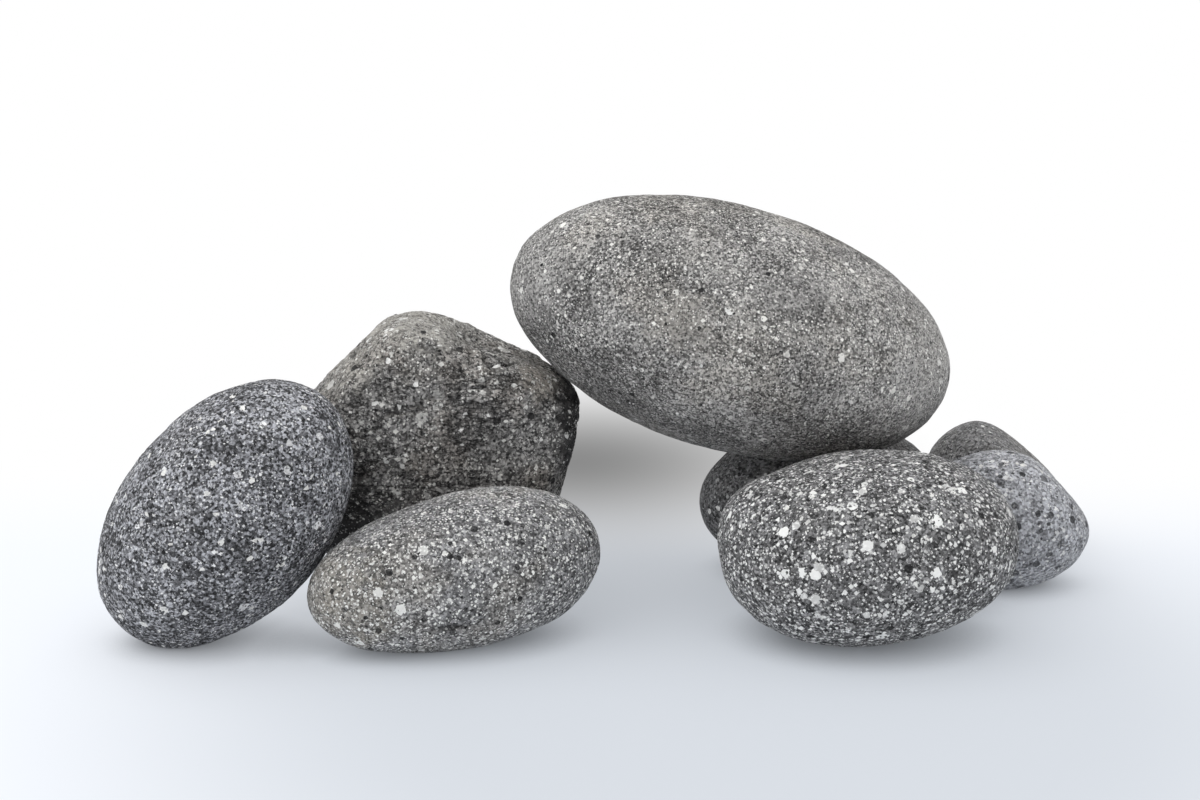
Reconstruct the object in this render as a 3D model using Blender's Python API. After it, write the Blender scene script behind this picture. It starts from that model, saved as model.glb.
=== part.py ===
"""A set of eight loose basalt massage stones, resting in one group.

Units are metres and +Z is up. The group stands on the plane z = 0, and the middle of its bounding
box stands over the origin. X runs along the group and -Y is its front.

A stone starts as a ball whose points are moved in or out along their own direction. Its own X is its
length, Y its width and Z its thickness. It is turned to its resting attitude, worn flat where it
stands on the floor, and then slid or lowered until it comes up against its neighbours.
"""

from math import acos, exp, radians

import bmesh
import bpy
from mathutils import Euler, Vector
from mathutils.bvhtree import BVHTree

# Fits
TOUCH_GAP = 0.0003  # clearance left where two stones rest on each other
FLOOR_WEAR = 0.0012  # thickness worn off a stone where it stands on the floor
START_DISTANCE = 0.4  # how far off a stone starts before it is slid up to its neighbours

# Each stone has a length, a width and a thickness, and a turn about X, Y and Z in degrees.
# A flat is (normal, share of the radius in that direction). A swell is (direction, share of the
# radius that it adds, spread in degrees), and a dent adds a negative share. An X or a Y is where a
# stone's middle stands before the group is centred, along the axis that its slide leaves alone.

# Broken boulder with blunt edges, the one stone that the others are brought up to
ROUGH_LENGTH = 0.081
ROUGH_WIDTH = 0.052
ROUGH_THICKNESS = 0.077
ROUGH_TURN = (0, 0, 0)
ROUGH_X = -0.043
ROUGH_Y = 0.026
ROUGH_FLATS = (
    ((0.40, 0.00, 0.92), 0.837),
    ((-0.68, 0.00, 0.73), 0.796),
    ((0.95, 0.00, -0.31), 0.856),
    ((0.10, -1.00, -0.15), 0.830),
    ((-0.30, 1.00, 0.25), 0.860),
    ((-0.80, 0.40, -0.45), 0.880),
)
ROUGH_SWELLS = (((0.36, 0.00, 0.93), -0.06, 16),)

# Large egg-shaped stone that lies across the others with its far end low
TOP_LENGTH = 0.118
TOP_WIDTH = 0.070
TOP_THICKNESS = 0.063
TOP_TURN = (0, 16, 0)
TOP_X = 0.034
TOP_Y = 0.026
TOP_SWELLS = (
    ((-0.80, 0.00, 0.60), 0.015, 30),
    ((0.20, -1.00, -0.10), 0.030, 35),
    ((0.70, -0.60, 0.50), -0.020, 35),
)

# Oval stone that stands on one end and leans on the boulder
LEFT_LENGTH = 0.077
LEFT_WIDTH = 0.052
LEFT_THICKNESS = 0.0515
LEFT_TURN = (0, -47, 12)
LEFT_X = -0.0925
LEFT_SWELLS = (
    ((0.50, -1.00, 0.20), 0.030, 40),
    ((-0.40, -0.70, -0.60), -0.020, 35),
    ((0.00, 0.00, 1.00), -0.015, 50),
)

# Low oval stone in front of the boulder
FRONT_LEFT_LENGTH = 0.076
FRONT_LEFT_WIDTH = 0.042
FRONT_LEFT_THICKNESS = 0.0375
FRONT_LEFT_TURN = (0, -7, 20)
FRONT_LEFT_X = -0.036
FRONT_LEFT_SWELLS = (
    ((0.50, -0.60, -0.60), -0.020, 30),
    ((-0.30, -0.80, 0.50), 0.020, 35),
)

# Full, slightly boxy stone in front, under the edge of the top stone
FRONT_RIGHT_LENGTH = 0.075
FRONT_RIGHT_WIDTH = 0.064
FRONT_RIGHT_THICKNESS = 0.0465
FRONT_RIGHT_TURN = (0, -6, 0)
FRONT_RIGHT_X = 0.067
FRONT_RIGHT_SWELLS = (
    ((-0.84, 0.10, 0.50), 0.060, 20),
    ((0.60, 0.00, 0.80), -0.020, 35),
    ((0.75, 0.00, -0.66), -0.040, 30),
)

# Stone behind, under the top stone
BACK_LENGTH = 0.068
BACK_WIDTH = 0.044
BACK_THICKNESS = 0.040
BACK_TURN = (0, 0, 20)
BACK_X = 0.059
BACK_SWELLS = (
    ((0.60, -0.50, 0.60), 0.030, 30),
    ((-0.20, 0.90, 0.30), -0.030, 35),
)

# Stone at the right with a sloping shoulder
RIGHT_LENGTH = 0.048
RIGHT_WIDTH = 0.036
RIGHT_THICKNESS = 0.037
RIGHT_TURN = (0, 0, 0)
RIGHT_Y = 0.029
RIGHT_FLATS = (((0.75, 0.00, 0.66), 0.847),)

# Smallest stone, behind the right one
FAR_RIGHT_LENGTH = 0.039
FAR_RIGHT_WIDTH = 0.040
FAR_RIGHT_THICKNESS = 0.036
FAR_RIGHT_TURN = (0, 0, 0)
FAR_RIGHT_X = 0.109
FAR_RIGHT_FLATS = (((0.62, 0.00, 0.78), 0.647),)
FAR_RIGHT_SWELLS = (((-0.80, -0.20, 0.50), 0.030, 30),)

# Form that the stones share
BALL_SUBDIVISIONS = 4
ELLIPSOID = 2.0  # squareness of a plain ellipsoid; more is boxier
BOXY = 2.15
BLOCKY = 2.3
CRISP_EDGE = 12.0  # how sharply a flat meets the rest of the stone
SOFT_EDGE = 8.0
NO_TAPER = 0.0
FRONT_LEFT_TAPER = -0.08  # below 0 the -X end is the narrow one

# Colour and roughness
ROUGH_LOOK = ((0.085, 0.078, 0.071), 0.92)
TOP_LOOK = ((0.200, 0.195, 0.185), 0.88)
LEFT_LOOK = ((0.095, 0.100, 0.112), 0.90)
FRONT_LEFT_LOOK = ((0.165, 0.160, 0.152), 0.90)
FRONT_RIGHT_LOOK = ((0.150, 0.148, 0.145), 0.86)
BACK_LOOK = ((0.070, 0.070, 0.072), 0.92)
RIGHT_LOOK = ((0.150, 0.155, 0.165), 0.90)
FAR_RIGHT_LOOK = ((0.095, 0.098, 0.105), 0.90)

UP = Vector((0.0, 0.0, 1.0))
DOWN = (0, 0, -1)
TO_BACK = (0, 1, 0)
TO_FRONT = (0, -1, 0)
TO_LEFT = (-1, 0, 0)


def clear_scene():
    for thing in list(bpy.data.objects):
        bpy.data.objects.remove(thing, do_unlink=True)


def make_collection(name):
    collection = bpy.data.collections.new(name)
    bpy.context.scene.collection.children.link(collection)
    return collection


def make_material(name, look):
    colour, roughness = look
    material = bpy.data.materials.new(name)
    material.use_nodes = True
    shader = material.node_tree.nodes["Principled BSDF"]
    shader.inputs["Base Color"].default_value = (*colour, 1.0)
    shader.inputs["Roughness"].default_value = roughness
    shader.inputs["Metallic"].default_value = 0.0
    return material


def rounded_radius(direction, half, taper, squareness):
    """Distance from the middle of a tapered superellipsoid to its surface in one direction."""
    narrowing = 1.0 - taper * direction.x
    reach = (direction.x / half.x,
             direction.y / (half.y * narrowing),
             direction.z / (half.z * narrowing))
    return sum(abs(part) ** squareness for part in reach) ** (-1.0 / squareness)


def stone_point(direction, half, taper, squareness, flats, edge, swells):
    """The point of a stone's surface that lies in one direction from its middle."""
    power = rounded_radius(direction, half, taper, squareness) ** -edge
    for towards, share in flats:
        normal = Vector(towards).normalized()
        facing = direction.dot(normal)
        if facing > 0.0:
            distance = share * rounded_radius(normal, half, taper, squareness)
            power += (facing / distance) ** edge
    radius = power ** (-1.0 / edge)
    for towards, share, spread in swells:
        cosine = max(-1.0, min(1.0, direction.dot(Vector(towards).normalized())))
        angle = acos(cosine) / radians(spread)
        radius *= 1.0 + share * exp(-angle * angle)
    return direction * radius


def wear_flat(ball, rotation, level):
    """Takes off what lies below a level of the turned stone and closes it with one flat face."""
    back = rotation.to_matrix().inverted()
    bmesh.ops.bisect_plane(
        ball, geom=ball.verts[:] + ball.edges[:] + ball.faces[:], dist=1e-7,
        plane_co=back @ (UP * level), plane_no=back @ -UP, clear_outer=True)
    rim = [edge for edge in ball.edges if edge.is_boundary]
    for face in bmesh.ops.contextual_create(ball, geom=rim)["faces"]:
        face.smooth = False
    bmesh.ops.recalc_face_normals(ball, faces=ball.faces[:])


def make_stone(name, size, turn, look, collection, taper=NO_TAPER, squareness=ELLIPSOID,
               flats=(), edge=CRISP_EDGE, swells=(), on_floor=True):
    """A turned stone over the origin, standing on the floor if on_floor is set."""
    half = Vector(size) / 2
    rotation = Euler([radians(angle) for angle in turn], "XYZ")
    ball = bmesh.new()
    bmesh.ops.create_icosphere(ball, subdivisions=BALL_SUBDIVISIONS, radius=1.0)
    for vertex in ball.verts:
        vertex.co = stone_point(vertex.co.normalized(), half, taper, squareness, flats, edge, swells)
    for face in ball.faces:
        face.smooth = True
    height = 0.0
    if on_floor:
        lowest = min((rotation.to_matrix() @ vertex.co).z for vertex in ball.verts)
        height = -lowest - FLOOR_WEAR
        wear_flat(ball, rotation, -height)
    mesh = bpy.data.meshes.new(name)
    ball.to_mesh(mesh)
    ball.free()
    mesh.materials.append(make_material(name, look))
    stone = bpy.data.objects.new(name, mesh)
    stone.rotation_euler = rotation
    stone.location = UP * height
    collection.objects.link(stone)
    return stone


def world_points(stone):
    turned = stone.rotation_euler.to_matrix()
    return [turned @ vertex.co + stone.location for vertex in stone.data.vertices]


def surface_tree(stone):
    faces = [face.vertices[:] for face in stone.data.polygons]
    return BVHTree.FromPolygons(world_points(stone), faces)


def clearance(stone, neighbours):
    """The smallest distance from a stone to any of its neighbours."""
    own_points = world_points(stone)
    own_tree = surface_tree(stone)
    nearest = START_DISTANCE
    for neighbour in neighbours:
        tree = surface_tree(neighbour)
        for point in own_points:
            nearest = min(nearest, tree.find_nearest(point)[3])
        for point in world_points(neighbour):
            nearest = min(nearest, own_tree.find_nearest(point)[3])
    return nearest


def bring_up(stone, neighbours, heading):
    """Moves a stone along a heading until only the touch gap is left to a neighbour.

    It starts far off, and each step is as long as its clearance, so it never passes into one.
    """
    step = Vector(heading)
    stone.location -= step * START_DISTANCE
    for count in range(400):
        room = clearance(stone, neighbours) - TOUCH_GAP
        if room < TOUCH_GAP / 30:
            break
        stone.location += step * room


def centre_group(stones):
    """Moves the group as a whole so that the middle of its bounding box stands over the origin."""
    points = [point for stone in stones for point in world_points(stone)]
    middle_x = (min(point.x for point in points) + max(point.x for point in points)) / 2
    middle_y = (min(point.y for point in points) + max(point.y for point in points)) / 2
    for stone in stones:
        stone.location -= Vector((middle_x, middle_y, 0.0))


def build():
    clear_scene()
    group = make_collection("basalt_massage_stones")

    rough = make_stone(
        "rough_stone", (ROUGH_LENGTH, ROUGH_WIDTH, ROUGH_THICKNESS), ROUGH_TURN, ROUGH_LOOK, group,
        squareness=BLOCKY, flats=ROUGH_FLATS, swells=ROUGH_SWELLS)
    rough.location.x = ROUGH_X
    rough.location.y = ROUGH_Y

    top = make_stone(
        "top_stone", (TOP_LENGTH, TOP_WIDTH, TOP_THICKNESS), TOP_TURN, TOP_LOOK, group,
        swells=TOP_SWELLS, on_floor=False)
    top.location.x = TOP_X
    top.location.y = TOP_Y
    bring_up(top, [rough], DOWN)

    front_right = make_stone(
        "front_right_stone", (FRONT_RIGHT_LENGTH, FRONT_RIGHT_WIDTH, FRONT_RIGHT_THICKNESS),
        FRONT_RIGHT_TURN, FRONT_RIGHT_LOOK, group, squareness=BOXY, swells=FRONT_RIGHT_SWELLS)
    front_right.location.x = FRONT_RIGHT_X
    bring_up(front_right, [rough, top], TO_BACK)

    back = make_stone(
        "back_stone", (BACK_LENGTH, BACK_WIDTH, BACK_THICKNESS), BACK_TURN, BACK_LOOK, group,
        swells=BACK_SWELLS)
    back.location.x = BACK_X
    bring_up(back, [rough, top, front_right], TO_FRONT)

    right = make_stone(
        "right_stone", (RIGHT_LENGTH, RIGHT_WIDTH, RIGHT_THICKNESS), RIGHT_TURN, RIGHT_LOOK, group,
        flats=RIGHT_FLATS)
    right.location.y = RIGHT_Y
    bring_up(right, [top, front_right, back], TO_LEFT)

    far_right = make_stone(
        "far_right_stone", (FAR_RIGHT_LENGTH, FAR_RIGHT_WIDTH, FAR_RIGHT_THICKNESS),
        FAR_RIGHT_TURN, FAR_RIGHT_LOOK, group, flats=FAR_RIGHT_FLATS, edge=SOFT_EDGE,
        swells=FAR_RIGHT_SWELLS)
    far_right.location.x = FAR_RIGHT_X
    bring_up(far_right, [top, front_right, back, right], TO_FRONT)

    left = make_stone(
        "left_stone", (LEFT_LENGTH, LEFT_WIDTH, LEFT_THICKNESS), LEFT_TURN, LEFT_LOOK, group,
        swells=LEFT_SWELLS)
    left.location.x = LEFT_X
    bring_up(left, [rough], TO_BACK)

    front_left = make_stone(
        "front_left_stone", (FRONT_LEFT_LENGTH, FRONT_LEFT_WIDTH, FRONT_LEFT_THICKNESS),
        FRONT_LEFT_TURN, FRONT_LEFT_LOOK, group, taper=FRONT_LEFT_TAPER, squareness=BOXY,
        swells=FRONT_LEFT_SWELLS)
    front_left.location.x = FRONT_LEFT_X
    bring_up(front_left, [rough, left, top, front_right], TO_BACK)

    centre_group([rough, top, front_right, back, right, far_right, left, front_left])


build()
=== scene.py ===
import math

import bmesh
import bpy
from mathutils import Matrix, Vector


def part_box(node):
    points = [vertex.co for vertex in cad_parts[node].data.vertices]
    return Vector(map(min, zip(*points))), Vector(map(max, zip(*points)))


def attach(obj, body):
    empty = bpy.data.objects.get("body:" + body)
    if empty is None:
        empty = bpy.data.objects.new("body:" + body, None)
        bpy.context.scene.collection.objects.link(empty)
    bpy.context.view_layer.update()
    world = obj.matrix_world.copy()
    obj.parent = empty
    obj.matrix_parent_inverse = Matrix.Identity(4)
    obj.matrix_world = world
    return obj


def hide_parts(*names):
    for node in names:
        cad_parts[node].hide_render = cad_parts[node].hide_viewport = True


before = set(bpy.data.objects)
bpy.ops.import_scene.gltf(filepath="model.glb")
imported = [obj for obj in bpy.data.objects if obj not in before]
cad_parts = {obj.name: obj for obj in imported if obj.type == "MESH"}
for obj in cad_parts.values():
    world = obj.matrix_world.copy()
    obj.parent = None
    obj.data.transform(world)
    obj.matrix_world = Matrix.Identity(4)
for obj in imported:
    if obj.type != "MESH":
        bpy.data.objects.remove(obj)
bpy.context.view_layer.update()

print("frame loaded,", len(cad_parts), "stones")

mm = 0.001
inMm = (1 / mm, 1 / mm, 1 / mm)
touching = (0.4 * mm, 2.6 * mm)  # relief grows from none to full between these distances to a neighbour
onFloor = (0.1 * mm, 1.6 * mm)  # and from little to full between these heights
toneStops = (0.08, 0.34, 0.5, 0.66, 0.92)  # where a stone's five tones sit on its ramp
largeSpacing = 2.5  # mm between grains, past which they are drawn as single large ones
speckEdge = 0.1  # mm over which a grain's edge fades
noiseSpread = 3.2  # noise seldom goes far from 0.5, so tones are spread by this
darkPore = (0.010, 0.010, 0.011, 1)
darkLedge = (0.012, 0.011, 0.011, 1)
# the colour of the painted shade in hollows and on undersides
paintedShadeColor = (0.014, 0.013, 0.013, 1)


# small helpers for node trees

def addNode(tree, kind, sockets=None, **settings):
    node = tree.nodes.new(kind)
    for name, value in settings.items():
        setattr(node, name, value)
    for key, value in (sockets or {}).items():
        if isinstance(value, bpy.types.NodeSocket):
            tree.links.new(value, node.inputs[key])
        else:
            node.inputs[key].default_value = value
    return node


def calc(tree, operation, *values, clamp=False):
    node = addNode(tree, "ShaderNodeMath", dict(enumerate(values)), operation=operation, use_clamp=clamp)
    return node.outputs[0]


def vectorCalc(tree, operation, *values, by=None):
    node = addNode(tree, "ShaderNodeVectorMath", dict(enumerate(values)), operation=operation)
    if by is not None:
        tree.links.new(by, node.inputs["Scale"])
    return node.outputs["Value" if operation == "LENGTH" else "Vector"]


def ramp(tree, value, low, high, toLow=0.0, toHigh=1.0, smooth=True):
    node = addNode(
        tree, "ShaderNodeMapRange",
        {"Value": value, "From Min": low, "From Max": high, "To Min": toLow, "To Max": toHigh},
        interpolation_type="SMOOTHSTEP" if smooth else "LINEAR")
    return node.outputs["Result"]


def perSize(tree, size):  # a pattern's scale, from the size of one lump or cell
    return calc(tree, "DIVIDE", 1.0, size) if isinstance(size, bpy.types.NodeSocket) else 1.0 / size


def noiseAt(tree, vector, size, detail=2.0, roughness=0.5, color=False):
    node = addNode(
        tree, "ShaderNodeTexNoise",
        {"Vector": vector, "Scale": perSize(tree, size), "Detail": detail, "Roughness": roughness})
    return node.outputs["Color" if color else "Fac"]


def cellsAt(tree, vector, size, **settings):
    return addNode(tree, "ShaderNodeTexVoronoi", {"Vector": vector, "Scale": perSize(tree, size)}, **settings)


def parts(tree, vector):  # the three numbers of a place, or of a cell's random colour
    return addNode(tree, "ShaderNodeSeparateXYZ", {"Vector": vector}).outputs


def openSocket(sockets, name):  # the one that is in use, where a node keeps several of the same name
    return [socket for socket in sockets if socket.enabled and name in ("", socket.name)][0]


def mixColor(tree, amount, first, second, blend="MIX"):
    node = addNode(tree, "ShaderNodeMix", data_type="RGBA", blend_type=blend)
    for key, value in (("Factor", amount), ("A", first), ("B", second)):
        if isinstance(value, bpy.types.NodeSocket):
            tree.links.new(value, openSocket(node.inputs, key))
        else:
            openSocket(node.inputs, key).default_value = value
    return openSocket(node.outputs, "")


def jitter(tree, vector, size, span, share, detail=2.0):  # pushes places about, for ragged outlines
    cloud = noiseAt(tree, vector, size, detail, color=True)
    push = vectorCalc(tree, "SUBTRACT", cloud, (0.5, 0.5, 0.5))
    push = vectorCalc(tree, "SCALE", push, by=calc(tree, "MULTIPLY", span, share))
    return vectorCalc(tree, "ADD", vector, push)


def relief(tree, noise, height):  # noise as a height that is more often below the outline than above it
    return calc(tree, "MULTIPLY", calc(tree, "MULTIPLY", calc(tree, "SUBTRACT", noise, 0.54), 3.0), height)


def chanceOf(tree, seed, low, high):
    kind = "FLOAT_VECTOR" if isinstance(low, tuple) else "FLOAT"
    node = addNode(tree, "FunctionNodeRandomValue", {"Seed": seed}, data_type=kind)
    for name, value in (("Min", low), ("Max", high)):
        openSocket(node.inputs, name).default_value = value
    return openSocket(node.outputs, "")


# grains of one size, in mm: how much of one is here, from small angular ones to large rounder ones
def specks(tree, vector, crowd, spacing, share, small, large):
    cells = cellsAt(tree, vector, spacing, distance="MANHATTAN" if spacing < largeSpacing else "EUCLIDEAN")
    chance = parts(tree, cells.outputs["Color"])
    edge = ramp(tree, calc(tree, "POWER", chance[1], 1.5), 0.0, 1.0, 1.3 * small, 1.3 * large, smooth=False)
    reach = calc(tree, "SUBTRACT", calc(tree, "MULTIPLY", cells.outputs["Distance"], spacing), edge)
    isHere = calc(tree, "LESS_THAN", chance[0], calc(tree, "MULTIPLY", crowd, share))
    inside = calc(tree, "MULTIPLY", isHere, ramp(tree, reach, -speckEdge, 0.0, 1.0, 0.0))
    return calc(tree, "MULTIPLY", inside, ramp(tree, chance[2], 0.0, 1.0, 0.55, 1.0))


# every stone's surface is made by this tree, from its own values
def buildReliefTree():
    tree = bpy.data.node_groups.new("stoneRelief", "GeometryNodeTree")
    face = tree.interface
    face.new_socket("Geometry", in_out="OUTPUT", socket_type="NodeSocketGeometry")
    face.new_socket("Geometry", in_out="INPUT", socket_type="NodeSocketGeometry")
    for kind, names in (
            ("Collection", ("Neighbours",)), ("Material", ("Stone", "Crystal")),
            ("Int", ("Points Per Side", "Seed")),
            ("Vector", (
                "Centre", "Shift", "Crack Stretch", "Scar Place", "Scar Stretch", "Boss Place",
                "Saddle Place")),
            ("Float", (
                "Swell", "Lump Size", "Lump Height", "Knob Size", "Knob Height", "Grain Size", "Grain Height",
                "Pit Spacing", "Pit Radius", "Pit Depth", "Pit Share", "Crack Size", "Crack Width",
                "Crack Depth", "Chip Size", "Chip Height", "Scar Radius", "Scar Depth", "Boss Radius",
                "Boss Height", "Saddle Radius", "Saddle Height", "Crystal Density", "Crystal Radius",
                "Crystal Proud"))):
        for name in names:
            face.new_socket(name, in_out="INPUT", socket_type="NodeSocket" + kind)
    given = addNode(tree, "NodeGroupInput").outputs
    result = addNode(tree, "NodeGroupOutput")

    # the worn outline, smoothed, and an even grid of points thrown out from the middle on to it
    outline = addNode(tree, "GeometryNodeSubdivisionSurface", {"Mesh": given["Geometry"], "Level": 3})
    side = given["Points Per Side"]
    cube = addNode(
        tree, "GeometryNodeMeshCube",
        {"Size": (2.0, 2.0, 2.0), "Vertices X": side, "Vertices Y": side, "Vertices Z": side})
    place = addNode(tree, "GeometryNodeInputPosition").outputs["Position"]
    even = [calc(tree, "TANGENT", calc(tree, "MULTIPLY", axis, math.pi / 4)) for axis in parts(tree, place)]
    heading = vectorCalc(
        tree, "NORMALIZE", addNode(tree, "ShaderNodeCombineXYZ", dict(enumerate(even))).outputs["Vector"])
    cast = addNode(
        tree, "GeometryNodeRaycast",
        {"Target Geometry": outline.outputs["Mesh"], "Source Position": given["Centre"],
         "Ray Direction": heading, "Ray Length": 1.0})
    ball = addNode(
        tree, "GeometryNodeSetPosition",
        {"Geometry": cube.outputs["Mesh"], "Position": cast.outputs["Hit Position"]})
    smooth = addNode(tree, "GeometryNodeSetShadeSmooth", {"Geometry": ball.outputs["Geometry"]})

    # how far the nearest other stone or the floor is: the relief dies out where they touch
    others = addNode(tree, "GeometryNodeCollectionInfo", {"Collection": given["Neighbours"]})
    solid = addNode(tree, "GeometryNodeRealizeInstances", {"Geometry": others.outputs["Instances"]})
    room = addNode(tree, "GeometryNodeProximity", {0: solid.outputs["Geometry"]}).outputs["Distance"]
    offFloor = ramp(tree, parts(tree, place)[2], *onFloor, 0.15, 1.0)
    free = calc(tree, "MULTIPLY", ramp(tree, room, *touching), offFloor)

    # heights of the relief, in metres, all measured at the worn outline
    at = vectorCalc(tree, "ADD", place, given["Shift"])
    lump = relief(tree, noiseAt(tree, at, given["Lump Size"], 2.0), given["Lump Height"])
    knob = relief(tree, noiseAt(tree, at, given["Knob Size"], 3.0, 0.6), given["Knob Height"])
    grain = relief(tree, noiseAt(tree, at, given["Grain Size"], 4.0, 0.7), given["Grain Height"])

    wobble = jitter(tree, at, given["Pit Radius"], given["Pit Radius"], 0.9)
    pitCells = cellsAt(tree, wobble, given["Pit Spacing"])
    chance = parts(tree, pitCells.outputs["Color"])
    isPit = calc(tree, "LESS_THAN", chance[0], given["Pit Share"])
    reach = calc(tree, "MULTIPLY", pitCells.outputs["Distance"], given["Pit Spacing"])
    radius = calc(tree, "MULTIPLY", given["Pit Radius"], ramp(tree, chance[1], 0.0, 1.0, 0.4, 1.0))
    bowl = calc(tree, "MULTIPLY", isPit, ramp(tree, calc(tree, "DIVIDE", reach, radius), 0.3, 1.0, 1.0, 0.0))
    pit = calc(tree, "MULTIPLY", bowl, calc(tree, "MULTIPLY", given["Pit Depth"], -1.0))

    # flat scars left by blows, winding cracks that run along the bedding, and one larger nick
    bent = jitter(tree, at, given["Chip Size"], given["Chip Size"], 0.8)
    chipCells = cellsAt(tree, vectorCalc(tree, "MULTIPLY", bent, (0.6, 0.8, 1.1)), given["Chip Size"])
    facet = calc(tree, "SUBTRACT", calc(tree, "POWER", chipCells.outputs["Distance"], 1.5), 0.4)
    chip = calc(tree, "MULTIPLY", facet, given["Chip Height"])
    along = vectorCalc(tree, "MULTIPLY", at, given["Crack Stretch"])
    winding = calc(
        tree, "ABSOLUTE", calc(tree, "SUBTRACT", noiseAt(tree, along, given["Crack Size"], 3.0, 0.6), 0.5))
    crackPart = calc(tree, "DIVIDE", winding, given["Crack Width"])
    patchy = ramp(tree, noiseAt(tree, at, calc(tree, "MULTIPLY", given["Crack Size"], 2.6), 1.0), 0.44, 0.58)
    gash = calc(tree, "MULTIPLY", ramp(tree, crackPart, 0.1, 1.0, 1.0, 0.0), patchy)
    crack = calc(tree, "MULTIPLY", gash, calc(tree, "MULTIPLY", given["Crack Depth"], -1.0))
    away = vectorCalc(tree, "SUBTRACT", place, given["Scar Place"])
    away = vectorCalc(tree, "LENGTH", vectorCalc(tree, "MULTIPLY", away, given["Scar Stretch"]))
    nick = ramp(tree, calc(tree, "DIVIDE", away, given["Scar Radius"]), 0.3, 1.0, 1.0, 0.0)
    scar = calc(tree, "MULTIPLY", nick, calc(tree, "MULTIPLY", given["Scar Depth"], -1.0))

    # all together, with a wide swelling and a wide dip at set places, and too low to touch a neighbour
    height = 0.0
    for part in (lump, knob, grain, pit, chip, crack, scar):
        height = calc(tree, "ADD", height, part)
    for name in ("Boss", "Saddle"):
        away = vectorCalc(tree, "LENGTH", vectorCalc(tree, "SUBTRACT", place, given[name + " Place"]))
        bulge = ramp(tree, calc(tree, "DIVIDE", away, given[name + " Radius"]), 0.1, 1.0, 1.0, 0.0)
        height = calc(tree, "MULTIPLY_ADD", bulge, given[name + " Height"], height)
    height = calc(tree, "MULTIPLY", calc(tree, "MINIMUM", height, given["Swell"]), free)
    height = calc(tree, "MINIMUM", height, calc(tree, "MULTIPLY", room, 0.4))
    raised = vectorCalc(tree, "SCALE", addNode(tree, "GeometryNodeInputNormal").outputs["Normal"], by=height)
    moved = parts(tree, vectorCalc(tree, "ADD", place, raised))
    standing = addNode(
        tree, "ShaderNodeCombineXYZ",
        {0: moved[0], 1: moved[1], 2: calc(tree, "MAXIMUM", moved[2], 0.0)}).outputs["Vector"]

    # marks that the material reads for its painted shade: pits, cracks and scars, and low ground
    kept = smooth.outputs["Geometry"]
    deepest = [
        calc(tree, "MULTIPLY", mark, calc(tree, "DIVIDE", given[name], 0.3 * mm, clamp=True))
        for mark, name in ((gash, "Crack Depth"), (nick, "Scar Depth"))]
    for name, value in (
            ("hollow", bowl), ("depth", calc(tree, "MAXIMUM", *deepest)),
            ("low", ramp(tree, calc(tree, "DIVIDE", knob, given["Knob Height"]), -0.5, 0.3, 1.0, 0.0))):
        kept = addNode(
            tree, "GeometryNodeStoreNamedAttribute", {"Geometry": kept, "Name": name, "Value": value},
            data_type="FLOAT", domain="POINT").outputs["Geometry"]
    shaped = addNode(
        tree, "GeometryNodeSetPosition", {"Geometry": kept, "Position": standing}).outputs["Geometry"]
    coated = addNode(
        tree, "GeometryNodeSetMaterial", {"Geometry": shaped, "Material": given["Stone"]}).outputs["Geometry"]

    # pale crystals, set in at random and ground off flush with the surface
    spots = addNode(
        tree, "GeometryNodeDistributePointsOnFaces",
        {"Mesh": shaped, "Density": given["Crystal Density"], "Seed": given["Seed"]})
    grit = addNode(tree, "GeometryNodeMeshIcoSphere", {"Radius": 1.0, "Subdivisions": 1})
    turn = chanceOf(tree, given["Seed"], (0.0, 0.0, 0.0), (6.28, 6.28, 6.28))
    squat = chanceOf(tree, calc(tree, "ADD", given["Seed"], 1.0), (0.45, 0.45, 0.45), (1.0, 1.0, 1.0))
    rareness = calc(tree, "POWER", chanceOf(tree, calc(tree, "ADD", given["Seed"], 2.0), 0.0, 1.0), 3.0)
    breadth = calc(
        tree, "MULTIPLY", given["Crystal Radius"], ramp(tree, rareness, 0.0, 1.0, 0.45, 1.0, smooth=False))
    grown = addNode(
        tree, "GeometryNodeInstanceOnPoints",
        {"Points": spots.outputs["Points"], "Instance": grit.outputs["Mesh"], "Rotation": turn,
         "Scale": vectorCalc(tree, "SCALE", squat, by=breadth)})
    planted = addNode(tree, "GeometryNodeRealizeInstances", {"Geometry": grown.outputs["Instances"]})
    chipped = jitter(tree, place, 1.1 * mm, given["Crystal Radius"], 1.1)
    broken = addNode(
        tree, "GeometryNodeSetPosition", {"Geometry": planted.outputs["Geometry"], "Position": chipped})
    outward = vectorCalc(tree, "SUBTRACT", place, given["Centre"])
    cut = addNode(
        tree, "GeometryNodeRaycast",
        {"Target Geometry": shaped, "Source Position": given["Centre"],
         "Ray Direction": vectorCalc(tree, "NORMALIZE", outward), "Ray Length": 1.0})
    far = calc(
        tree, "MINIMUM", vectorCalc(tree, "LENGTH", outward),
        calc(tree, "ADD", cut.outputs["Hit Distance"], given["Crystal Proud"]))
    groundTo = vectorCalc(tree, "SCALE", vectorCalc(tree, "NORMALIZE", outward), by=far)
    ground = addNode(
        tree, "GeometryNodeSetPosition",
        {"Geometry": broken.outputs["Geometry"],
         "Position": vectorCalc(tree, "ADD", given["Centre"], groundTo)})
    pale = addNode(
        tree, "GeometryNodeSetMaterial",
        {"Geometry": ground.outputs["Geometry"], "Material": given["Crystal"]}).outputs["Geometry"]
    both = addNode(tree, "GeometryNodeJoinGeometry")
    tree.links.new(pale, both.inputs[0])
    tree.links.new(coated, both.inputs[0])
    whole = addNode(tree, "GeometryNodeRealizeInstances", {"Geometry": both.outputs["Geometry"]})
    tree.links.new(whole.outputs["Geometry"], result.inputs["Geometry"])
    return tree


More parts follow.
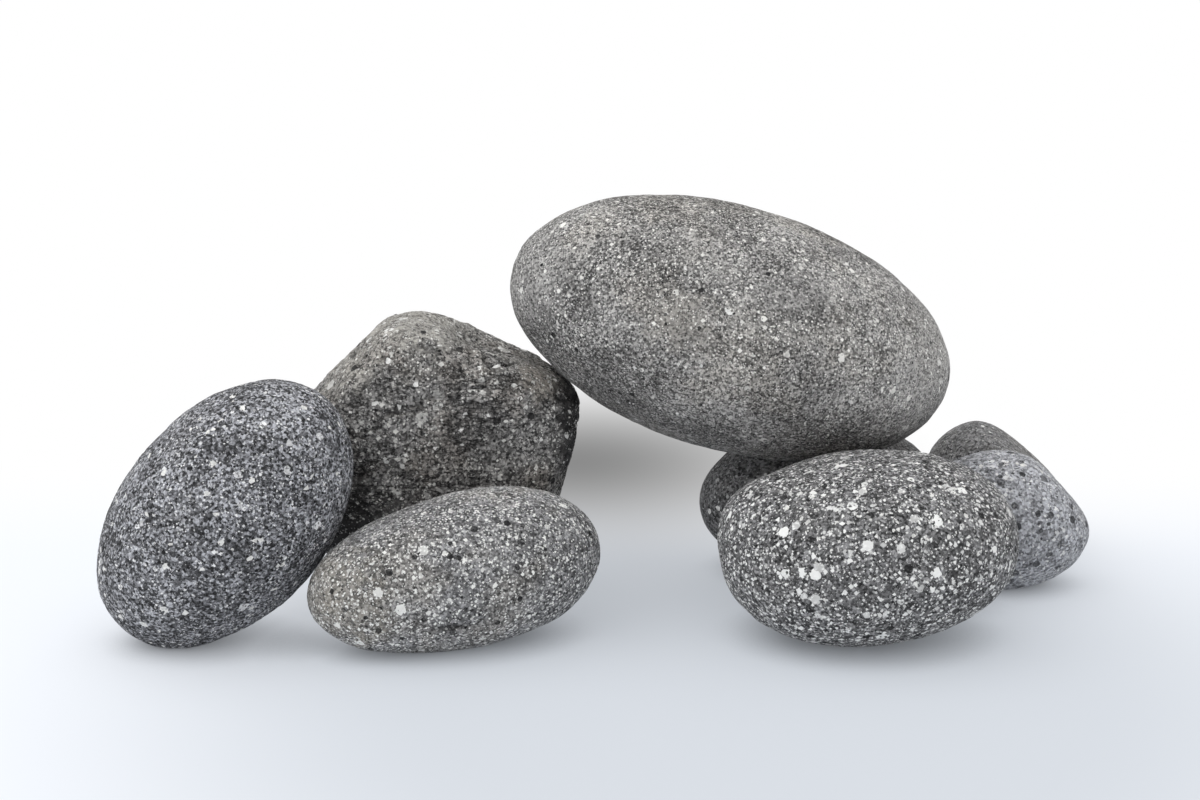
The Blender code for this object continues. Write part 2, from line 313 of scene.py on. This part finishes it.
def stoneMaterial(name, look):  # its patterns are measured in mm, its patches in metres
    material = bpy.data.materials.new(name)
    material.use_nodes = True
    tree = material.node_tree
    shader = tree.nodes["Principled BSDF"]
    shader.inputs["Specular IOR Level"].default_value = look["shine"]
    shader.inputs["Diffuse Roughness"].default_value = 1.0
    start = addNode(tree, "ShaderNodeTexCoord").outputs["Object"]
    at = addNode(
        tree, "ShaderNodeMapping",
        {"Vector": start, "Scale": inMm, "Location": look["patternShift"]}).outputs["Vector"]
    warped = jitter(tree, at, 1.1, 1.0, look["wander"], detail=3.0)

    # ground mass: mineral grains of random tone, fine noise and wide mottling
    fine = noiseAt(tree, at, look["fineSize"], 3.0, 0.65)
    broad = noiseAt(tree, at, look["broadSize"], 2.0, 0.5)
    mottle = noiseAt(tree, at, look["mottleSize"], 4.0, 0.6)
    grains = parts(tree, cellsAt(tree, warped, look["grainSize"]).outputs["Color"])[0]
    tone = calc(tree, "MULTIPLY_ADD", grains, look["grain"], 0.5 - 0.5 * look["grain"])
    for cloud, weight in ((fine, look["fine"]), (broad, look["broad"]), (mottle, look["mottle"])):
        swing = calc(tree, "MULTIPLY", calc(tree, "SUBTRACT", cloud, 0.5), noiseSpread * weight)
        tone = calc(tree, "ADD", tone, swing)
    stops = addNode(tree, "ShaderNodeValToRGB", {"Fac": tone})
    for place, level in zip(toneStops, look["tones"]):
        stop = stops.color_ramp.elements.new(place)
        stop.color = tuple(level * part for part in look["hue"]) + (1,)
    stops.color_ramp.elements.remove(stops.color_ramp.elements[0])
    stops.color_ramp.elements.remove(stops.color_ramp.elements[-1])
    color = stops.outputs["Color"]

    # warm or cool tint in wide patches
    stain = ramp(tree, noiseAt(tree, at, look["tintSize"], 4.0, 0.55), 0.46, 0.62)
    color = mixColor(tree, calc(tree, "MULTIPLY", stain, look["tint"]), color, look["tintColor"], "MULTIPLY")

    # dust that has settled in pale patches and on the upper side, broken up by the grain
    up = parts(tree, addNode(tree, "ShaderNodeNewGeometry").outputs["Normal"])[2]
    cloud = noiseAt(tree, at, look["dustSize"], 5.0, 0.65)
    grit = calc(tree, "ADD", fine, grains)
    dust = ramp(tree, cloud, look["dustEdge"], look["dustEdge"] + 0.14)
    dust = calc(tree, "MULTIPLY", dust, ramp(tree, up, look["dustFrom"], look["dustFrom"] + 0.6))
    dust = calc(tree, "MULTIPLY", dust, ramp(tree, grit, 0.5, 1.3, 0.25, 1.0))
    color = mixColor(tree, calc(tree, "MULTIPLY", dust, look["dust"]), color, look["dustColor"])

    # patches at set places, with ragged edges: worn dust, dark patches and painted shade
    ragged = calc(tree, "MULTIPLY", calc(tree, "SUBTRACT", noiseAt(tree, at, 4.0, 5.0, 0.7), 0.5), 2.4)
    for place, reach, amount, patchColor in look["patches"]:
        offset = vectorCalc(tree, "DIVIDE", vectorCalc(tree, "SUBTRACT", start, place), reach)
        outwards = calc(tree, "ADD", vectorCalc(tree, "LENGTH", offset), ragged)
        inside = ramp(tree, outwards, 0.5, 1.1, amount, 0.0)
        inside = calc(tree, "MULTIPLY", inside, ramp(tree, grit, 0.5, 1.3, 0.3, 1.0))
        color = mixColor(tree, inside, color, patchColor)

    # pale crystals of several sizes, gathered in loose clusters
    raised = 0.0
    gather = noiseAt(tree, at, look["clusterSize"], 4.0, 0.65)
    crowd = ramp(tree, gather, 0.36, 0.64, 1.0 - look["cluster"], 1.0 + look["cluster"])
    torn = jitter(tree, at, 1.0, 1.0, 1.5, detail=3.0)
    for layer in look["flecks"]:
        fleck = specks(tree, torn if layer[0] > largeSpacing else warped, crowd, *layer)
        color = mixColor(tree, fleck, color, look["fleckColor"])
        raised = calc(tree, "MAXIMUM", raised, fleck)

    # pores: small, dark and deep
    pore = 0.0
    nibbled = jitter(tree, at, 0.9, 1.0, 0.5)
    for layer in look["pores"]:
        pore = calc(tree, "MAXIMUM", pore, specks(tree, nibbled, 1.0, *layer))
    color = mixColor(tree, calc(tree, "MULTIPLY", pore, look["poreDark"]), color, darkPore)

    # small ledges and cracks that run along the bedding
    ledge = 0.0
    if look["ledges"]:
        along = vectorCalc(tree, "MULTIPLY", jitter(tree, at, 2.5, 1.0, 1.2), (0.5, 0.7, 1.5))
        line = calc(tree, "ABSOLUTE", calc(tree, "SUBTRACT", noiseAt(tree, along, 3.2, 4.0, 0.65), 0.5))
        ledge = calc(tree, "MULTIPLY", ramp(tree, line, 0.0, 0.045, 1.0, 0.0), ramp(tree, mottle, 0.4, 0.54))
        ledge = calc(tree, "MULTIPLY", ledge, ramp(tree, up, 0.25, 0.8, look["ledges"], 0.15))
        color = mixColor(tree, ledge, color, darkLedge)

    # painted shade: hollows, cracks, low ground and the underside are darkened as if little light reached
    # them
    shade = 0.0
    for mark in ("hollow", "depth", "low"):
        amount = addNode(tree, "ShaderNodeAttribute", attribute_name=mark).outputs["Fac"]
        shade = calc(tree, "ADD", shade, calc(tree, "MULTIPLY", amount, look[mark + "Shade"]))
    shade = calc(tree, "ADD", shade, ramp(tree, up, -0.95, 0.15, look["under"], 0.0), clamp=True)
    color = mixColor(tree, shade, color, paintedShadeColor)
    tree.links.new(color, shader.inputs["Base Color"])
    polish = ramp(tree, raised, 0.0, 1.0, look["rough"], look["rough"] - 0.22)
    tree.links.new(polish, shader.inputs["Roughness"])

    # crystals stand out a little, and pores and ledges go in
    bumpHeight = calc(tree, "MULTIPLY_ADD", raised, 0.3, calc(tree, "MULTIPLY", fine, 1.4))
    bumpHeight = calc(tree, "SUBTRACT", bumpHeight, calc(tree, "MULTIPLY", pore, 1.2))
    bumpHeight = calc(tree, "SUBTRACT", bumpHeight, calc(tree, "MULTIPLY", ledge, 1.5))
    bump = addNode(
        tree, "ShaderNodeBump", {"Height": bumpHeight, "Distance": look["bump"] * mm, "Strength": 1.0})
    tree.links.new(bump.outputs["Normal"], shader.inputs["Normal"])
    return material


def crystalMaterial(name, pale, grey):
    material = bpy.data.materials.new(name)
    material.use_nodes = True
    tree = material.node_tree
    shader = tree.nodes["Principled BSDF"]
    at = addNode(
        tree, "ShaderNodeMapping",
        {"Vector": addNode(tree, "ShaderNodeTexCoord").outputs["Object"], "Scale": inMm})
    cloud = noiseAt(tree, at.outputs["Vector"], 0.7, 4.0, 0.7)
    between = cellsAt(tree, at.outputs["Vector"], 3.1)
    chance = parts(tree, between.outputs["Color"])[0]
    tone = calc(tree, "MULTIPLY_ADD", ramp(tree, cloud, 0.35, 0.65), 0.6, calc(tree, "MULTIPLY", chance, 0.4))
    tree.links.new(mixColor(tree, tone, grey, pale), shader.inputs["Base Color"])
    shader.inputs["Roughness"].default_value = 0.55
    bump = addNode(tree, "ShaderNodeBump", {"Height": cloud, "Distance": 0.08 * mm, "Strength": 1.0})
    tree.links.new(bump.outputs["Normal"], shader.inputs["Normal"])
    return material


def cadCopy(nodeName):  # the CAD stone's outline, merged, as the surface to start from
    shape = bmesh.new()
    shape.from_mesh(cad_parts[nodeName].data)
    bmesh.ops.remove_doubles(shape, verts=shape.verts, dist=0.01 * mm)
    bmesh.ops.recalc_face_normals(shape, faces=shape.faces)
    mesh = bpy.data.meshes.new(nodeName + "_outline")
    shape.to_mesh(mesh)
    shape.free()
    outline = bpy.data.objects.new(nodeName + "_outline", mesh)
    bpy.context.scene.collection.objects.link(outline)
    return outline


def makeStone(pieceName, nodeName, stone):
    low, high = (Vector(corner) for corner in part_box(nodeName))
    body = outlines[nodeName]
    others = bpy.data.collections.new(pieceName + "Neighbours")
    for name, outline in outlines.items():
        if name != nodeName:
            others.objects.link(outline)
    modifier = body.modifiers.new("relief", "NODES")
    modifier.node_group = stoneRelief
    values = {
        **stone, "Neighbours": others, "Centre": tuple((low + high) / 2),
        "Stone": stoneMaterial(pieceName + "Surface", stone),
        "Crystal": crystalMaterial(pieceName + "Crystals", stone["crystalPale"], stone["crystalGrey"]),
    }
    for item in stoneRelief.interface.items_tree:
        if item.in_out == "INPUT" and item.name in values:
            modifier[item.identifier] = values[item.name]
    graph = bpy.context.evaluated_depsgraph_get()
    mesh = bpy.data.meshes.new_from_object(
        body.evaluated_get(graph), preserve_all_data_layers=True, depsgraph=graph)
    mesh.name = pieceName
    body.modifiers.remove(modifier)
    bpy.data.collections.remove(others)
    piece = bpy.data.objects.new(pieceName, mesh)
    bpy.context.scene.collection.objects.link(piece)
    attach(piece, nodeName)
    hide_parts(nodeName)
    print(pieceName, "made,", len(mesh.polygons), "faces")


# what every stone starts from. Names with capitals are inputs of the relief tree, in metres, and the others
# are the material's, in mm. Flecks and pores are (spacing, share, smallest, largest), and patches are
# (place, reach, how much, colour), with place and reach in metres
plainStone = {
    "Shift": (0.0, 0.0, 0.0), "Points Per Side": 120, "Swell": 0.45 * mm,
    "Lump Size": 22 * mm, "Lump Height": 0.6 * mm, "Knob Size": 5 * mm, "Knob Height": 0.12 * mm,
    "Grain Size": 1.6 * mm, "Grain Height": 0.09 * mm,
    "Pit Spacing": 4.5 * mm, "Pit Radius": 0.85 * mm, "Pit Depth": 0.5 * mm, "Pit Share": 0.3,
    "Crack Size": 9 * mm, "Crack Width": 0.03, "Crack Depth": 0.0, "Crack Stretch": (1.0, 1.0, 1.0),
    "Chip Size": 9 * mm, "Chip Height": 0.0,
    "Scar Place": (0.0, 0.0, -1.0), "Scar Stretch": (1.0, 1.0, 1.0), "Scar Radius": 4 * mm, "Scar Depth": 0.0,
    "Boss Place": (0.0, 0.0, -1.0), "Boss Radius": 5 * mm, "Boss Height": 0.0,
    "Saddle Place": (0.0, 0.0, -1.0), "Saddle Radius": 5 * mm, "Saddle Height": 0.0,
    "Crystal Density": 9000.0, "Crystal Radius": 1.2 * mm, "Crystal Proud": 0.03 * mm,
    "shine": 0.3, "rough": 0.88, "wander": 0.45,
    "grainSize": 0.62, "grain": 0.75, "fineSize": 0.7, "fine": 0.35, "broadSize": 2.6, "broad": 0.1,
    "mottleSize": 18.0, "mottle": 0.2,
    "tones": (0.035, 0.105, 0.175, 0.27, 0.50), "hue": (1.0, 1.0, 1.02),  # dark to pale
    "tintSize": 20.0, "tint": 0.3, "tintColor": (1.0, 0.94, 0.84, 1),
    "flecks": ((0.75, 0.6, 0.16, 0.40), (1.7, 0.35, 0.3, 0.75)), "fleckColor": (0.85, 0.85, 0.84, 1),
    "pores": ((0.95, 0.6, 0.16, 0.42), (2.8, 0.3, 0.3, 0.8)), "poreDark": 0.92,
    "dustSize": 24.0, "dustEdge": 0.5, "dustFrom": -0.3, "dust": 0.2, "dustColor": (0.38, 0.37, 0.35, 1),
    "clusterSize": 8.0, "cluster": 0.6, "patches": (), "ledges": 0.0,
    # painted shade in hollows, cracks, low ground and on the underside, by these amounts
    "hollowShade": 0.65, "depthShade": 0.7, "lowShade": 0.0, "under": 0.4, "bump": 0.45,
    "crystalPale": (0.86, 0.85, 0.83, 1), "crystalGrey": (0.50, 0.50, 0.49, 1),
}

stoneRelief = buildReliefTree()
outlines = {name: cadCopy(name) for name in sorted(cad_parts)}
print("relief tree and", len(outlines), "outlines ready")

topStone = {
    **plainStone, "Seed": 11, "Points Per Side": 126, "Crystal Density": 7000.0, "Crystal Radius": 1.0 * mm,
    "Swell": 1.5 * mm, "Grain Height": 0.06 * mm, "Pit Share": 0.12,
    "Boss Place": (-0.026, -0.010, 0.084), "Boss Radius": 26 * mm, "Boss Height": 1.1 * mm,
    "patternShift": (31.0, 7.0, 3.0), "hue": (1.02, 1.0, 0.975),
    "tones": (0.050, 0.14, 0.235, 0.36, 0.64), "mottle": 0.3, "grain": 0.7, "grainSize": 0.5,
    "fineSize": 0.55, "wander": 0.3, "under": 0.45,
    "flecks": ((0.62, 0.65, 0.15, 0.33), (1.5, 0.33, 0.28, 0.66), (4.6, 0.25, 0.5, 1.0)),
    "fleckColor": (0.93, 0.92, 0.89, 1), "clusterSize": 12.0, "cluster": 0.8,
    "pores": ((0.72, 0.7, 0.15, 0.34), (2.8, 0.25, 0.3, 0.65)), "poreDark": 0.95,
    "dust": 0.4, "dustEdge": 0.5, "dustColor": (0.50, 0.485, 0.46, 1), "bump": 0.4,
    "patches": (  # worn pale skin
        ((0.0184, -0.0296, 0.0784), (0.011, 0.012, 0.008), 0.75, (0.46, 0.44, 0.41, 1)),
        ((0.0830, -0.0100, 0.0600), (0.018, 0.030, 0.026), 0.55, (0.50, 0.49, 0.48, 1)),
        ((-0.0190, -0.0100, 0.0840), (0.010, 0.016, 0.014), 0.45, (0.48, 0.47, 0.46, 1)),
        ((0.0500, -0.0250, 0.0850), (0.018, 0.016, 0.006), 0.35, (0.50, 0.49, 0.48, 1))),
}
makeStone("topStone", "top_stone", topStone)

roughStone = {
    **plainStone, "Seed": 21, "Points Per Side": 128, "Shift": (0.05, 0.02, 0.0), "Swell": 1.6 * mm,
    "Lump Size": 24 * mm, "Lump Height": 0.9 * mm, "Knob Size": 7 * mm, "Knob Height": 0.6 * mm,
    "Grain Size": 2.4 * mm, "Grain Height": 0.32 * mm,
    "Crack Size": 9 * mm, "Crack Width": 0.05, "Crack Depth": 0.8 * mm, "Crack Stretch": (0.55, 0.8, 1.5),
    "Chip Size": 13 * mm, "Chip Height": 1.2 * mm, "Crystal Density": 12000.0, "Crystal Radius": 1.7 * mm,
    "Boss Place": (-0.058, -0.002, 0.068), "Boss Radius": 26 * mm, "Boss Height": 1.8 * mm,
    "Saddle Place": (-0.032, 0.004, 0.067), "Saddle Radius": 14 * mm, "Saddle Height": -2.0 * mm,
    "patternShift": (5.0, 17.0, 9.0), "hue": (1.02, 1.0, 0.98),
    "tones": (0.050, 0.135, 0.215, 0.32, 0.54), "fine": 0.4, "broad": 0.12, "mottle": 0.15, "under": 0.05,
    "flecks": ((0.75, 0.7, 0.17, 0.42), (1.8, 0.5, 0.3, 0.85), (5.5, 0.3, 0.6, 1.5)),
    "fleckColor": (0.92, 0.91, 0.88, 1),
    "pores": ((1.05, 0.45, 0.18, 0.5), (3.0, 0.3, 0.3, 0.9)),
    "tint": 0.45, "tintColor": (1.0, 0.90, 0.80, 1), "lowShade": 0.2, "ledges": 0.9, "depthShade": 0.55,
    "dust": 0.5, "dustEdge": 0.44, "dustFrom": 0.1, "dustColor": (0.48, 0.46, 0.42, 1), "bump": 0.7,
    "patches": (  # dust on the peak, then a near-black patch at the right, and painted shade in the crevice at the lower left
        ((-0.0490, 0.0020, 0.0720), (0.022, 0.022, 0.009), 0.9, (0.56, 0.54, 0.50, 1)),
        ((-0.0650, -0.0020, 0.0620), (0.012, 0.018, 0.010), 0.7, (0.54, 0.52, 0.48, 1)),
        ((-0.0170, -0.0090, 0.0590), (0.007, 0.010, 0.007), 0.7, (0.46, 0.42, 0.37, 1)),
        ((-0.0080, -0.0040, 0.0480), (0.007, 0.020, 0.024), 0.92, (0.012, 0.011, 0.012, 1)),
        # painted shade in the crevice at the lower left
        ((-0.0670, -0.0160, 0.0220), (0.014, 0.016, 0.015), 0.85, (0.010, 0.010, 0.011, 1))),
}
makeStone("roughStone", "rough_stone", roughStone)

leftStone = {
    **plainStone, "Seed": 31, "Shift": (0.01, 0.07, 0.0), "Pit Share": 0.55, "Pit Spacing": 3.6 * mm,
    "Grain Height": 0.14 * mm, "Knob Height": 0.2 * mm,
    "Crystal Density": 12000.0, "Crystal Radius": 1.8 * mm,
    "patternShift": (71.0, 2.0, 13.0), "hue": (0.985, 1.0, 1.07),
    "tones": (0.030, 0.095, 0.175, 0.30, 0.60), "mottle": 0.25, "under": 0.15,
    "cluster": 0.9, "clusterSize": 9.0, "fleckColor": (0.95, 0.95, 0.96, 1),
    "flecks": ((0.75, 0.65, 0.16, 0.38), (1.8, 0.22, 0.3, 0.75), (6.0, 0.25, 0.6, 1.2)),
    "pores": ((0.85, 0.95, 0.22, 0.50), (1.7, 0.6, 0.35, 0.75)),
    "tint": 0.0, "dust": 0.1, "bump": 0.6,
}
makeStone("leftStone", "left_stone", leftStone)

frontLeftStone = {
    **plainStone, "Seed": 41, "Shift": (0.03, 0.01, 0.05),
    "Scar Place": (-0.037, -0.060, 0.0095), "Scar Stretch": (0.35, 0.6, 2.2), "Scar Radius": 2.6 * mm,
    "Scar Depth": 0.9 * mm,
    "patternShift": (11.0, 52.0, 23.0), "grain": 0.6, "under": 0.0,
    "tones": (0.044, 0.121, 0.194, 0.29, 0.53), "fleckColor": (0.93, 0.93, 0.91, 1), "cluster": 0.3,
    "flecks": ((0.75, 0.9, 0.19, 0.45), (1.5, 0.5, 0.32, 0.7), (5.0, 0.25, 0.5, 1.1)),
    "tint": 0.6, "tintColor": (1.0, 0.95, 0.86, 1), "dust": 0.1,
    "patches": (((-0.0660, -0.0580, 0.0160), (0.016, 0.016, 0.013), 0.35, (0.46, 0.42, 0.34, 1)),),
}
makeStone("frontLeftStone", "front_left_stone", frontLeftStone)

frontRightStone = {
    **plainStone, "Seed": 51, "Shift": (0.09, 0.03, 0.02), "Swell": 2.2 * mm, "Grain Height": 0.13 * mm,
    "Crystal Density": 30000.0, "Crystal Radius": 1.3 * mm,
    "Scar Place": (0.062, -0.060, 0.029), "Scar Radius": 2.2 * mm, "Scar Depth": 1.0 * mm,
    "Boss Place": (0.031, -0.038, 0.033), "Boss Radius": 17 * mm, "Boss Height": 2.0 * mm,
    "patternShift": (3.0, 42.0, 63.0), "broad": 0.15, "mottle": 0.1, "under": 0.0,
    "tones": (0.033, 0.086, 0.137, 0.208, 0.40), "fleckColor": (0.93, 0.93, 0.92, 1), "cluster": 0.2,
    "flecks": ((0.8, 0.8, 0.2, 0.46), (1.5, 0.6, 0.38, 0.8), (4.0, 0.4, 0.6, 1.3)),
    "pores": ((1.1, 0.5, 0.2, 0.5), (3.2, 0.4, 0.4, 1.0)), "tint": 0.1, "dust": 0.1,
}
makeStone("frontRightStone", "front_right_stone", frontRightStone)

rightStone = {
    **plainStone, "Seed": 61, "Shift": (0.02, 0.09, 0.04), "Points Per Side": 96,
    "patternShift": (37.0, 4.0, 33.0), "hue": (0.985, 1.0, 1.06),
    "tones": (0.14, 0.28, 0.38, 0.48, 0.68), "tint": 0.0, "under": 0.1,
    "flecks": ((1.1, 0.6, 0.25, 0.5), (2.2, 0.5, 0.4, 0.9)), "fleckColor": (0.88, 0.88, 0.88, 1),
    "pores": ((1.4, 0.45, 0.25, 0.5), (3.0, 0.4, 0.5, 1.1)), "poreDark": 0.85,
}
makeStone("rightStone", "right_stone", rightStone)

farRightStone = {
    **plainStone, "Seed": 71, "Shift": (0.06, 0.05, 0.01), "Points Per Side": 88,
    "patternShift": (9.0, 14.0, 83.0),
    "tones": (0.06, 0.145, 0.20, 0.27, 0.42), "tint": 0.4, "poreDark": 0.75,
    "flecks": ((0.85, 0.4, 0.15, 0.38), (2.5, 0.2, 0.3, 0.7)), "fleckColor": (0.62, 0.61, 0.59, 1),
}
makeStone("farRightStone", "far_right_stone", farRightStone)

backStone = {
    **plainStone, "Seed": 81, "Shift": (0.08, 0.08, 0.03), "Points Per Side": 96,
    "patternShift": (19.0, 64.0, 3.0),
    "tones": (0.035, 0.095, 0.14, 0.20, 0.34), "tint": 0.2,
    "flecks": ((0.85, 0.4, 0.15, 0.38), (2.5, 0.2, 0.3, 0.7)), "fleckColor": (0.55, 0.55, 0.55, 1),
}
makeStone("backStone", "back_stone", backStone)

for outline in outlines.values():
    bpy.data.objects.remove(outline, do_unlink=True)
print("outlines removed")

studio = {
    "floorSize": 6.0, "floorNear": (0.650, 0.685, 0.735, 1), "floorFar": (0.87, 0.90, 0.95, 1),
    "middle": (0.035, -0.09, 0.0), "reach": (0.20, 0.22, 1.0),  # where the floor has its darker near colour, a painted shade round the stones
    "ownLight": 0.6,  # how much of the floor's light is a painted glow of its own
    "nearShade": 0.018,  # how far the stones darken the floor's glow round them, as painted shade
    "fadeStart": 0.02, "fadeEnd": 0.12,  # behind the stones the floor turns to a white painted glow
    "paintedShadows": (  # painted shadows on the floor: place, reach and how dark
        ((-0.01, 0.13, 0.0), (0.12, 0.13, 1.0), 0.73),
        ((0.01, 0.06, 0.0), (0.15, 0.12, 1.0), 0.08)),
    "worldLight": 0.75, "skyColor": (1.0, 1.0, 1.0, 1), "lampAim": (0.0, 0.0, 0.04),
    "topPower": 7.7, "topSize": 1.4, "topPlace": (-0.25, 0.05, 1.0),
    "frontPower": 3.9, "frontSize": 1.2, "frontPlace": (-0.5, -1.2, 0.6),
}


def makeFloor():
    bpy.ops.mesh.primitive_plane_add(size=studio["floorSize"], location=(0, 0, 0))
    floor = bpy.context.object
    floor.name = "studioFloor"
    material = bpy.data.materials.new("studioFloorPaper")
    material.use_nodes = True
    tree = material.node_tree
    shader = tree.nodes["Principled BSDF"]
    shader.inputs["Roughness"].default_value = 0.6
    shader.inputs["Specular IOR Level"].default_value = 0.2
    at = addNode(tree, "ShaderNodeTexCoord").outputs["Object"]

    def spread(middle, reach):
        offset = vectorCalc(tree, "DIVIDE", vectorCalc(tree, "SUBTRACT", at, middle), reach)
        return vectorCalc(tree, "LENGTH", offset)

    # painted shade: darker colour near the stones, paler further out
    outer = ramp(tree, spread(studio["middle"], studio["reach"]), 0.35, 1.0)
    paper = mixColor(tree, outer, studio["floorNear"], studio["floorFar"])
    # painted shadow spots darken the floor at set places
    lit = 1.0
    for place, reach, depth in studio["paintedShadows"]:
        lit = calc(tree, "MULTIPLY", lit, ramp(tree, spread(place, reach), 0.0, 1.0, 1.0 - depth, 1.0))
    paper = vectorCalc(tree, "SCALE", paper, by=lit)
    tree.links.new(paper, shader.inputs["Base Color"])
    # a painted glow of the floor's own, darkened next to the stones as painted shade
    openness = addNode(
        tree, "ShaderNodeAmbientOcclusion", {"Distance": studio["nearShade"]}, samples=8).outputs["AO"]
    bright = ramp(tree, openness, 0.0, 0.6, 0.25, 1.0, smooth=False)
    own = addNode(tree, "ShaderNodeEmission", {"Color": paper, "Strength": bright})
    near = addNode(
        tree, "ShaderNodeMixShader",
        {0: studio["ownLight"], 1: shader.outputs["BSDF"], 2: own.outputs["Emission"]})
    # behind the stones a white painted glow, under the same painted shadows
    back = ramp(tree, parts(tree, at)[1], studio["fadeStart"], studio["fadeEnd"])
    glow = addNode(tree, "ShaderNodeEmission", {"Color": (1, 1, 1, 1), "Strength": lit})
    fade = addNode(
        tree, "ShaderNodeMixShader", {0: back, 1: near.outputs["Shader"], 2: glow.outputs["Emission"]})
    tree.links.new(fade.outputs["Shader"], tree.nodes["Material Output"].inputs["Surface"])
    floor.data.materials.append(material)


def makeWorld():
    world = bpy.data.worlds.new("studio")
    world.use_nodes = True
    bpy.context.scene.world = world
    tree = world.node_tree
    seen = addNode(tree, "ShaderNodeLightPath").outputs["Is Camera Ray"]
    strength = ramp(tree, seen, 0.0, 1.0, studio["worldLight"], 1.0, smooth=False)
    shader = tree.nodes["Background"]
    shader.inputs["Color"].default_value = studio["skyColor"]
    tree.links.new(strength, shader.inputs["Strength"])


def makeLamp(name, place, size, power):
    lamp = bpy.data.lights.new(name, "AREA")
    lamp.size = size
    lamp.energy = power
    holder = bpy.data.objects.new(name, lamp)
    holder.location = place
    holder.rotation_euler = (Vector(studio["lampAim"]) - Vector(place)).to_track_quat("-Z", "Y").to_euler()
    bpy.context.scene.collection.objects.link(holder)


view = {"aim": (-0.0022, -0.0219, 0.057), "pitch": 14.0, "distance": 0.708, "lens": 85.0, "sensor": 36.0}


def makeCamera():
    camera = bpy.data.cameras.new("camera")
    camera.lens = view["lens"]
    camera.sensor_width = view["sensor"]
    camera.clip_start = 0.01
    pitch = math.radians(view["pitch"])
    forward = Vector((0, math.cos(pitch), -math.sin(pitch)))
    holder = bpy.data.objects.new("camera", camera)
    holder.location = Vector(view["aim"]) - forward * view["distance"]
    holder.rotation_euler = (math.pi / 2 - pitch, 0, 0)
    bpy.context.scene.collection.objects.link(holder)
    bpy.context.scene.camera = holder


makeFloor()
makeWorld()
makeLamp("topLight", studio["topPlace"], studio["topSize"], studio["topPower"])
makeLamp("frontLight", studio["frontPlace"], studio["frontSize"], studio["frontPower"])
makeCamera()
bpy.context.scene.view_settings.view_transform = "Standard"
print("studio ready")
